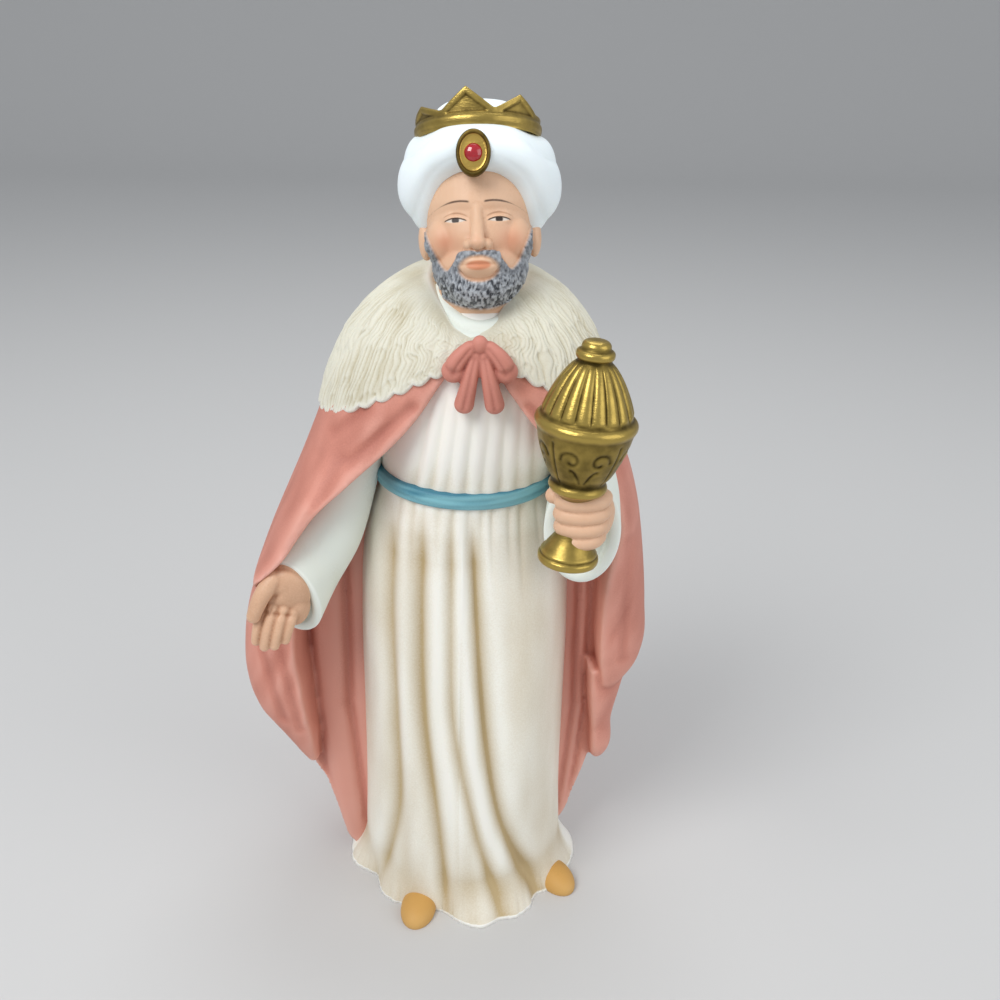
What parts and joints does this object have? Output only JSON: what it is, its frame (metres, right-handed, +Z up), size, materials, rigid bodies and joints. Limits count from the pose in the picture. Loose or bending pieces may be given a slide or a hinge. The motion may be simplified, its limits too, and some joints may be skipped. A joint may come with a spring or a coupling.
{
  "type": "nativity wise man figurine",
  "caption": "Standing robed and turbaned king with crown, fur cape and long cloak, one palm open and the other hand holding a covered goblet.",
  "frame": {"origin": "centre of the gown's flat underside, on the ground", "axes": "+Z up through the figure, -Y the way it faces, +X to the side of the goblet"},
  "size_m": [0.1209, 0.0977, 0.2393],
  "materials": {
    "bisque_porcelain": "unglazed bisque porcelain, matte white with beige airbrushed folds",
    "rose_paint": "matte rose paint fired on bisque, darker in the folds",
    "skin_paint": "matte skin tint on bisque with blushed cheeks",
    "beard_paint": "matte grey paint, stippled",
    "sash_paint": "matte teal paint, darker at the edges",
    "gold_paint": "brushed-on metallic gold paint",
    "jewel_enamel": "glossy red enamel drop",
    "shoe_paint": "matte ochre paint"
  },
  "bodies": {
    "root": {"wise_man": "bisque_porcelain"}
  },
  "joints": []
}
